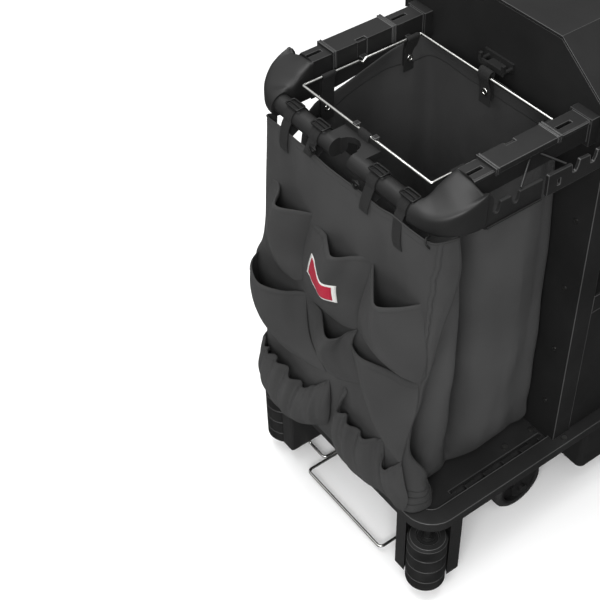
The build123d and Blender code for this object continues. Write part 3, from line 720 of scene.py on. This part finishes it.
# Each level below is its height, and its points (x, y).
SHEET_LEVELS = [
    (900, [(-314, -261), (-336, -257), (-354, -240), (-360, -200), (-363, -150), (-359, -112),
           (-362, -70), (-359, 0), (-363, 70), (-360, 110), (-362, 150), (-359, 188), (-352, 199),
           (-338, 194)]),
    (850, [(-324, -262), (-340, -258), (-356, -243), (-361, -200), (-361, -150), (-360, -112),
           (-363, -70), (-360, 0), (-363, 70), (-360, 110), (-361, 150), (-359, 192), (-351, 203),
           (-337, 198)]),
    (765, [(-340, -255), (-348, -255), (-358, -248), (-360, -205), (-359, -150), (-359, -112),
           (-360, -70), (-359, 0), (-360, 70), (-359, 110), (-360, 150), (-358, 202), (-350, 213),
           (-336, 207)]),
    (690, [(-350, -250), (-354, -252), (-358, -249),
           *flat(-205, -150, -112, -70, 0, 70, 110, 160), (-358, 213), (-350, 224), (-336, 218)]),
    (640, [(-354, -240), (-356, -240), (-358, -238),
           *flat(-200, -150, -112, -70, 0, 70, 120, 180), (-358, 226), (-350, 236), (-336, 230)]),
    (580, [(-354, -231), (-356, -232), (-358, -230),
           *flat(-195, -150, -112, -70, 0, 70, 130, 190), (-358, 252), (-350, 262), (-336, 252)]),
    (500, [(-354, -213), (-356, -213), (-358, -211),
           *flat(-185, -145, -105, -66, 0, 70, 130, 190), (-358, 248), (-350, 257), (-336, 250)]),
    (415, [(-344, -203), (-350, -204), (-354, -200), (-358, -180),
           *flat(-145, -105, -66, 0, 70, 130, 190), (-358, 232), (-350, 240), (-336, 234)]),
    (367, [(-325, -222), (-335, -218), (-346, -208), (-357, -184),
           *flat(-145, -105, -66, 0, 70, 130, 190), (-358, 233), (-350, 240), (-336, 234)]),
    (315, [(-308, -215), (-325, -224), (-343, -213), (-356, -188),
           *flat(-145, -105, -66, 0, 70, 130, 190), (-358, 234), (-350, 240), (-336, 234)]),
]
SHEET_FOOT = [
    (-281, -203, 244), (-304, -225, 242), (-338, -220, 242), (-354, -194, 242), (-358, -145, 242),
    (-358, -105, 242), (-358, -66, 242), (-358, 0, 242), (-358, 70, 242), (-358, 130, 242),
    (-358, 190, 242), (-357, 232, 242), (-350, 240, 242), (-338, 236, 242),
]


def organizer_sheet():
    levels = [[(x, y, z) for x, y in row] for z, row in SHEET_LEVELS]
    rows = [SHEET_TOP] + levels + [SHEET_FOOT]
    grid = column_blend(rows, 150, 96)
    crease(grid, 2.4, 38.0, 9.7, 0.6)
    sheet = grid_piece("organizer_sheet", grid, "organizer_fabric")
    thicken(sheet, 1.4)
    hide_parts("organizer_panel")
    borders = {"top": grid[0], "near": [row[0] for row in grid], "far": [row[-1] for row in grid]}
    for name, line in borders.items():
        tube("organizer_hem_" + name, line, 1.7, "organizer_fabric")
    top = [a.lerp(b, 0.5) for a, b in zip(grid[1], grid[2])]
    stitches("organizer_stitching_top", top, "organizer_fabric", (-1.0, 0, 0))
    return grid


def pocket(name, lip, left, bottom, right, belly=10.0, across=56, down=48,
           gather=0.0, waves=5, ruffled=None, replaced=None, square=0.7):
    """A patch pocket sewn to the sheet along three sides, with its lip standing open.

    left and right run down from the lip's ends, and bottom joins them. belly is how far the
    middle stands out, and gather the depth of the pleats that fall from the lip.
    """
    left, right = [lip[0]] + left, [lip[-1]] + right
    bottom = [left[-1]] + bottom + [right[-1]]
    if ruffled:
        lip = ruffle(lip, *ruffled)
    grid = coons(lip, right, bottom, left, across, down)
    depth = [SHEET_X - min(p.x, SHEET_X) for p in grid[0]]
    for j, row in enumerate(grid):
        v = j / (down - 1)
        for i, p in enumerate(row):
            u = i / (across - 1)
            full = math.sin(math.pi * u) ** square * math.sin(math.pi * v ** 0.8)
            pleat = gather * math.cos(u * math.pi * 2 * waves + 1.6 * math.sin(5 * u))
            pleat *= (1 - v) ** 0.9 * min(1.0, 8 * u * (1 - u))
            p.x -= belly * full + depth[i] * 0.25 * v * (1 - v) - pleat
            if 0 < j < 3:
                p.x -= 1.0
            wander = noise.noise(Vector((p.y / 30.0, p.z / 55.0, p.x / 40.0 + len(name))))
            p.x += 2.2 * wander * full
    turned = [p + Vector((2.6, 0, -9.0)) for p in grid[0]]
    inside = [p + Vector((2.0, 0, -0.5)) for p in grid[0]]
    mesh = grid_mesh(name, [turned, inside] + grid)
    piece = place(name, mesh, "organizer_fabric")
    thicken(piece, 1.3)
    line = [p + Vector((-1.1, 0, 0)) for p in grid[max(1, round(down * 0.05))]]
    seam = stitches(name + "_stitching", line, "organizer_fabric")
    if replaced:
        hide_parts(replaced)
    return mesh


def pockets():
    pocket(
        "pocket_upper_near",
        lip=[(-360, -106, 826), (-380, -130, 816), (-400, -155, 812), (-410, -170, 812),
             (-408, -184, 814), (-383, -208, 818), (-356, -228, 826)],
        left=[(-374, -94, 740), (-372, -82, 690), (-360, -65, 640)],
        bottom=[(-366, -120, 626), (-366, -190, 628)],
        right=[(-358, -244, 760), (-359, -248, 700), (-359, -236, 645)],
        belly=12, replaced="pockets_upper")
    front = pocket(
        "pocket_upper_middle",
        lip=[(-359, 69, 800), (-364, 22, 806), (-376, 0, 810), (-390, -23, 811), (-396, -37, 812),
             (-388, -48, 812), (-368, -64, 816), (-359, -92, 830), (-358, -112, 837)],
        left=[(-360, 87, 733), (-360, 97, 685), (-360, 97, 627)],
        bottom=[(-366, 60, 618), (-366, -20, 620)],
        right=[(-360, -100, 760), (-360, -84, 690), (-360, -61, 632)],
        belly=16)
    sewn_patch(front)
    pocket(
        "pocket_upper_far",
        lip=[(-358, 185, 828), (-362, 160, 826), (-374, 142, 826), (-394, 125, 828),
             (-404, 112, 830), (-401, 98, 830), (-379, 77, 826), (-358, 56, 822)],
        left=[(-358, 205, 750), (-358, 215, 690), (-358, 212, 632)],
        bottom=[(-366, 170, 622), (-366, 120, 624)],
        right=[(-360, 76, 760), (-360, 90, 700), (-360, 98, 636)],
        belly=14)
    pocket(
        "pocket_middle_near",
        lip=[(-358, -38, 597), (-370, -62, 600), (-381, -89, 608), (-381, -110, 611),
             (-374, -132, 613), (-366, -160, 617), (-360, -200, 623), (-358, -232, 640)],
        left=[(-360, -80, 535), (-360, -110, 477), (-360, -143, 427), (-360, -180, 395)],
        bottom=[(-362, -186, 392), (-362, -192, 390)],
        right=[(-360, -234, 600), (-360, -228, 552), (-360, -210, 466), (-358, -196, 392)],
        belly=16, replaced="pockets_middle")
    pocket(
        "pocket_middle_middle",
        lip=[(-358, 82, 598), (-360, 57, 604), (-365, 36, 605), (-374, 21, 605), (-394, -10, 605),
             (-398, -25, 605), (-393, -31, 605), (-381, -39, 608), (-366, -45, 618),
             (-360, -68, 640)],
        left=[(-360, 80, 550), (-360, 70, 490), (-360, 40, 456), (-360, 20, 450)],
        bottom=[(-364, -10, 462), (-364, -45, 484)],
        right=[(-366, -60, 600), (-366, -74, 550), (-360, -83, 508)],
        belly=16)
    pocket(
        "pocket_middle_far",
        lip=[(-356, 250, 600), (-389, 228, 600), (-410, 176, 600), (-390, 129, 602),
             (-368, 108, 604), (-357, 90, 608)],
        left=[(-358, 252, 540), (-358, 246, 470), (-358, 226, 400)],
        bottom=[(-366, 170, 402), (-366, 90, 424)],
        right=[(-362, 84, 550), (-362, 72, 490), (-360, 28, 440)],
        belly=14)
    gathered_pockets()


def ruffle(points, amount, waves, seed):
    """A lip drawn up by elastic: its height and depth wander in small scallops."""
    line = through(points, waves * 6 + 1)
    for k, p in enumerate(line):
        swing = math.cos(2 * math.pi * k / 6 + 0.9 * math.sin(k * 0.31 + seed))
        swing *= 0.6 + 0.4 * math.sin(k + seed)
        line[k] = p + Vector((-amount * swing, 0, amount * 0.8 * swing))
    return line


def gathered_pockets():
    pocket(
        "pocket_lower_far",
        lip=[(-352, 240, 394), (-366, 238, 374), (-378, 214, 372), (-388, 184, 382),
             (-388, 150, 384), (-384, 112, 368), (-378, 80, 368), (-370, 48, 396),
             (-358, 22, 428)],
        left=[(-353, 242, 350), (-353, 242, 300), (-354, 240, 246)],
        bottom=[(-376, 200, 238), (-388, 140, 238), (-384, 84, 254)],
        right=[(-362, 14, 390), (-364, 16, 330), (-360, 30, 285)],
        ruffled=(3.6, 9, 1), belly=26, across=150,
        down=44, gather=6, waves=8, replaced="pockets_lower", square=0.4)
    pocket(
        "pocket_lower_middle",
        lip=[(-358, -22, 462), (-364, -38, 448), (-370, -28, 420), (-378, -30, 398),
             (-382, -62, 404), (-380, -92, 392), (-374, -118, 394), (-358, -145, 412)],
        left=[(-364, -10, 400), (-366, -12, 320), (-360, -30, 262)],
        bottom=[(-370, -70, 248), (-370, -110, 246)],
        right=[(-362, -152, 360), (-364, -158, 310), (-360, -150, 252)],
        ruffled=(3, 7, 2), belly=18, across=110,
        down=40, gather=5.5, waves=6)
    pocket(
        "pocket_lower_near",
        lip=[(-358, -141, 388), (-370, -152, 366), (-378, -168, 356), (-372, -182, 372),
             (-358, -196, 392)],
        left=[(-364, -154, 330), (-366, -172, 290), (-360, -186, 252)],
        bottom=[(-361, -192, 248), (-359, -198, 246)],
        right=[(-358, -208, 340), (-352, -214, 290), (-354, -206, 246)],
        ruffled=(2, 3, 3), belly=8, across=52,
        down=40, gather=2.6, waves=3)


# ---- straps, buckles and small fittings on the organizer ----
def organizer_straps():
    """Four straps that loop over the tube and are sewn to the sheet, each with its buckle."""
    # Name, y, width, lean, height of the lower end, and how far the lower end drifts in y.
    plans = (("far_outer", 136, 22, 6, 916, -4), ("far_inner", 65, 22, 2, 950, 0),
             ("near_inner", -86, 22, -6, 924, 2), ("near_outer", -162, 21, 0, 906, -8))
    first = None
    for name, y, wide, lean, low, drift in plans:
        r = TUBE_R + 2.0
        around = []
        for degrees in range(-70, 191, 20):
            turn = math.radians(degrees)
            around.append((TUBE_X + r * math.cos(turn), y, TUBE_Z + r * math.sin(turn)))
        path = [(TUBE_X - 22, y, 940), (TUBE_X - 8, y, 948)] + around
        path += [(TUBE_X - r - 5, y, TUBE_Z - 14),
                 (SHEET_X - 4.5, y + drift * 0.5, (945 + low) / 2), (SHEET_X - 4, y + drift, low)]
        made = strap("organizer_strap_" + name, path, wide, (0.0, 1.0, lean * 0.004), 1.7, 60)
        first = first or made
        buckle(name, y)
    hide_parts("organizer_straps")


def buckle(name, y):
    """A ladder buckle: a rounded frame with a middle bar, lying on top of the tube."""
    lean = math.radians(-2)
    centre = Vector((TUBE_X - 1, y, TUBE_Z + TUBE_R + 4.4))
    slide = Vector((math.cos(lean), 0, -math.sin(lean)))
    wide = Vector((0, 1, 0))
    frame_points = []
    for sx, sy in ((-1, -1), (-1, 1), (1, 1), (1, -1)):
        corner = centre + slide * 9 * sx + wide * 15.5 * sy
        back, aside = (slide * sx, wide * sy) if sx == sy else (wide * sy, slide * sx)
        before, after = corner - back * 3, corner - aside * 3
        frame_points += [before, corner - (slide * sx + wide * sy) * 0.8, after]
    ring = tube("buckle_frame_" + name, frame_points, 1.9, "buckle_plastic", loop=True)
    bar = [centre - wide * 15, centre + Vector((0, 0, 0.8)), centre + wide * 15]
    tube("buckle_bar_" + name, bar, 1.6, "buckle_plastic")
    if name == "far_outer":
        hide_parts("strap_buckles")


def sewn_patch(pocket_cloth):
    """A plain woven patch sewn on the upper middle pocket, following its surface."""
    clear_of_cloth = -480
    corners = [Vector((clear_of_cloth, y, z))
               for y, z in ((45, 748), (-43, 744), (63, 691), (-37, 695))]
    surface = BVHTree.FromPolygons([v.co for v in pocket_cloth.vertices],
                                   [p.vertices for p in pocket_cloth.polygons])
    layers = (("patch_border", 0.0, 1.4, "patch_edge"), ("patch_field", 0.07, 2.0, "patch_red"))
    for name, inset, lift, look in layers:
        rows = []
        for j in range(13):
            v = inset * 1.5 + (1 - 3 * inset) * j / 12
            row = []
            for i in range(19):
                u = inset + (1 - 2 * inset) * i / 18
                top = corners[0].lerp(corners[1], u)
                bottom = corners[2].lerp(corners[3], u)
                start = at(*top.lerp(bottom, v))
                spot, normal, face, distance = surface.ray_cast(start, Vector((1, 0, 0)))
                if normal.x > 0:
                    normal = -normal
                row.append((spot + normal * lift * MM) / MM - Vector((PANEL_X / MM, 0, 0)))
            rows.append(row)
        piece = place(name, grid_mesh(name, rows), "organizer_fabric", look)
        thicken(piece, 0.7, 0)


def sheet_clips():
    """Snap clips at the sheet's top edge by the inner straps, and a hook by the near casting."""
    for name, y in (("far", 52), ("near", -62)):
        lathe("clip_stud_" + name, [(4.6, 0), (4.4, 1.8), (3.2, 3.2), (1.6, 3.6), (0.4, 3.7)],
              (SHEET_X - 2, y, 962), (-1, 0, 0), "buckle_plastic")
        points = [(SHEET_X - 3 + 2.5 * math.sin(a), y + 7.5 * math.cos(a), 964 + 6 * math.sin(a))
                  for a in (2 * math.pi * k / 16 for k in range(16))]
        tube("clip_ring_" + name, points, 1.3, "buckle_plastic", loop=True)
        pin = [(SHEET_X - 3, y + 8, 968), (SHEET_X - 4, y, 971), (SHEET_X - 3, y - 9, 968)]
        tube("clip_pin_" + name, pin, 1.5, "buckle_plastic")
    hook = [(-346, -222, 958), (-357, -226, 962), (-361, -231, 955), (-357, -236, 948)]
    tube("edge_hook", hook, 1.6, "buckle_plastic")


def surface_frame(grid, j, i):
    """The direction along a row of the grid at a point, and the cloth's normal there."""
    side = (grid[j][i + 1] - grid[j][i - 1]).normalized()
    return side, (grid[j + 1][i] - grid[j][i]).cross(side).normalized()


def near_binding(grid):
    """A folded tape stitched down the near edge of the pocket columns."""
    # How far the tape lies from the sheet's near edge, at rows counted from the top.
    plan = ((0, 30.0), (8, 42.0), (26, 24.0), (40, 9.0))
    path = []
    for j in range(41):
        want = between(plan, j)
        walked = 0.0
        i = 0
        while walked < want and i < len(grid[j]) - 2:
            walked += (grid[j][i + 1] - grid[j][i]).length
            i += 1
        side, out = surface_frame(grid, j, i)
        if out.x > 0:
            out = -out
        path.append((grid[j][i] + out * 1.5, side))
    spots, sides = zip(*path)
    mesh = ribbon_mesh("near_binding", spots, 9.0, sides, 1.0)
    tape = place("near_binding", mesh, "organizer_fabric")
    for name, shift in (("a", -3.2), ("b", 3.2)):
        line = [p + side * shift + Vector((-0.8, -0.4, 0)) for p, side in path]
        stitches("near_binding_stitching_" + name, line, "organizer_fabric", pitch=3.6)


def flap_bars(grid):
    """Three rows of heavy stitching across the tip of the near flap."""
    for name, j in (("a", 86), ("b", 89), ("c", 92)):
        path = []
        for i in range(1, 30):
            side, out = surface_frame(grid, j, i)
            if out.y > 0:
                out = -out
            path.append(grid[j][i] + out * 1.1)
        tube("flap_bar_" + name, path, 1.1, "organizer_fabric")


def rounded_loop(x_low, x_high, y_half, radius, z):
    """Points of a rounded rectangle round the deck's middle line."""
    spots = []
    left, right, aside = x_low + radius, x_high - radius, y_half - radius
    corners = ((0, right, aside), (90, left, aside), (180, left, -aside), (270, right, -aside))
    for turn, x, y in corners:
        for step in range(7):
            angle = math.radians(turn + 15 * step)
            spots.append((x + radius * math.cos(angle), y + radius * math.sin(angle), z))
    return spots


def deck_details():
    """Thin tubes that paint highlight lines on the rim's two edges, and a highlight-coloured bead
    and a closing pan at each toothed slot.
    """
    low, high = (corner.x / MM - PANEL_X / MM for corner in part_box("base_deck"))
    # Thin tubes in the lighter plastic paint the highlight lines of the rim's rounded edges.
    rim = rounded_loop(low + 0.6, high - 0.6, 270.9, 61, 236.8)
    tube("rim_highlight_line_outer", rim, 1.0, "deck_plastic", loop=True, look="rubbed_edge")
    rim = rounded_loop(low + 35, high - 35, 236.5, 27, 237.8)
    tube("rim_highlight_line_inner", rim, 0.9, "deck_plastic", loop=True, look="rubbed_edge")
    for side, label in ((-1, "near"), (1, "far")):
        edge = [(-247, 219, 228.6), (-247, 212.5, 228.6), (-4, 212.5, 228.6)]
        edge = [(x, side * y, z) for x, y, z in edge]
        # The slot's edge bead is coloured with the painted highlight plastic.
        tube("slot_bead_" + label, edge, 1.0, "deck_plastic", look="rubbed_edge")
        rows = []
        for y, z in ((212, 223.5), (212, 215.5), (233, 215.5), (233, 223.5)):
            rows.append([Vector((x, side * y, z)) for x in range(-250, 1, 25)])
        pan = grid_piece("slot_pan_" + label, rows, "deck_plastic")
        thicken(pan, 1.2, 0)
        for k in range(4):
            x = -197.5 + 49 * k
            rib = [(x - 12, side * 217.6, 219), (x + 12, side * 217.6, 219)]
            tube("slot_rib_%s_%d" % (label, k), rib, 2.0, "deck_plastic")


def backdrop():
    size = 14.0
    mesh = bpy.data.meshes.new("studio_floor")
    corners = [(-size, -size, 0), (size, -size, 0), (size, size, 0), (-size, size, 0)]
    mesh.from_pydata(corners, [], [(0, 1, 2, 3)])
    floor = new_object("studio_floor", mesh)
    material, tree, shader = new_material("floor_paper", 0.9, 0.1)
    tone = ramp(tree, noise_at(tree, 1.2), [(0.3, grey(0.93)), (0.7, grey(0.96))])
    tree.links.new(tone, shader.inputs["Base Color"])
    mesh.materials.append(material)
    floor.visible_glossy = False


def area_light(name, place_m, target, power, size):
    light = bpy.data.lights.new(name, "AREA")
    light.energy = power
    light.size = size
    lamp = new_object(name, light)
    lamp.location = place_m
    direction = Vector(target) - Vector(place_m)
    lamp.rotation_euler = direction.to_track_quat("-Z", "Y").to_euler()


def studio():
    """A sky that is bright overhead and on the bag's side, with a key light and a top light."""
    world = bpy.data.worlds.new("studio")
    bpy.context.scene.world = world
    world.use_nodes = True
    tree = world.node_tree
    toward = tree.nodes.new("ShaderNodeSeparateXYZ")
    coordinates = tree.nodes.new("ShaderNodeTexCoord")
    tree.links.new(coordinates.outputs["Generated"], toward.inputs["Vector"])
    sky = ramp(tree, toward.outputs["Z"], [(0.0, grey(0.12)), (0.2, grey(0.3)), (0.8, grey(1.1))])
    across = {"From Min": -1.0, "To Min": 1.5, "To Max": 0.3}
    side = node(tree, "ShaderNodeMapRange", **across)
    tree.links.new(toward.outputs["X"], side.inputs["Value"])
    tree.links.new(sky, tree.nodes["Background"].inputs["Color"])
    tree.links.new(side.outputs["Result"], tree.nodes["Background"].inputs["Strength"])
    area_light("key", (-2.6, -2.2, 2.9), target=(-0.3, 0, 0.7), power=100, size=1.6)
    area_light("top", (-0.5, 0.2, 3.6), target=(-0.3, 0, 0.5), power=90, size=2.4)
    bpy.context.scene.view_settings.view_transform = "Standard"


CAMERA_AT = (-1290.3, -1242.7, 2183.0)
CAMERA_TURN = (-34.53, 44.43, -2.3)  # azimuth, elevation and roll in degrees
LENS_MM = 73.11


def camera():
    """Looks down past the bag's near corner, turned a little about its own axis."""
    azimuth, elevation, roll = (math.radians(a) for a in CAMERA_TURN)
    back = Vector((math.sin(azimuth) * math.cos(elevation),
                   -math.cos(azimuth) * math.cos(elevation), math.sin(elevation)))
    right = Vector((math.cos(azimuth), math.sin(azimuth), 0))
    up = back.cross(right)
    turned_right = right * math.cos(roll) + up * math.sin(roll)
    turned_up = up * math.cos(roll) - right * math.sin(roll)
    lens = bpy.data.cameras.new("camera")
    lens.sensor_width = 36.0
    lens.lens = LENS_MM
    shot = new_object("camera", lens)
    shot.matrix_world = Matrix((turned_right, turned_up, back)).transposed().to_4x4()
    shot.matrix_world.translation = at(*CAMERA_AT)
    bpy.context.scene.camera = shot


dress_cad_nodes()
corner_shell(-1, "near")
corner_shell(1, "far")
rail_skirt(-1, "near")
rail_skirt(1, "far")
main_bag()
bag_hangers()
sheet_grid = organizer_sheet()
near_binding(sheet_grid)
flap_bars(sheet_grid)
pockets()
organizer_straps()
sheet_clips()
deck_details()
backdrop()
studio()
camera()
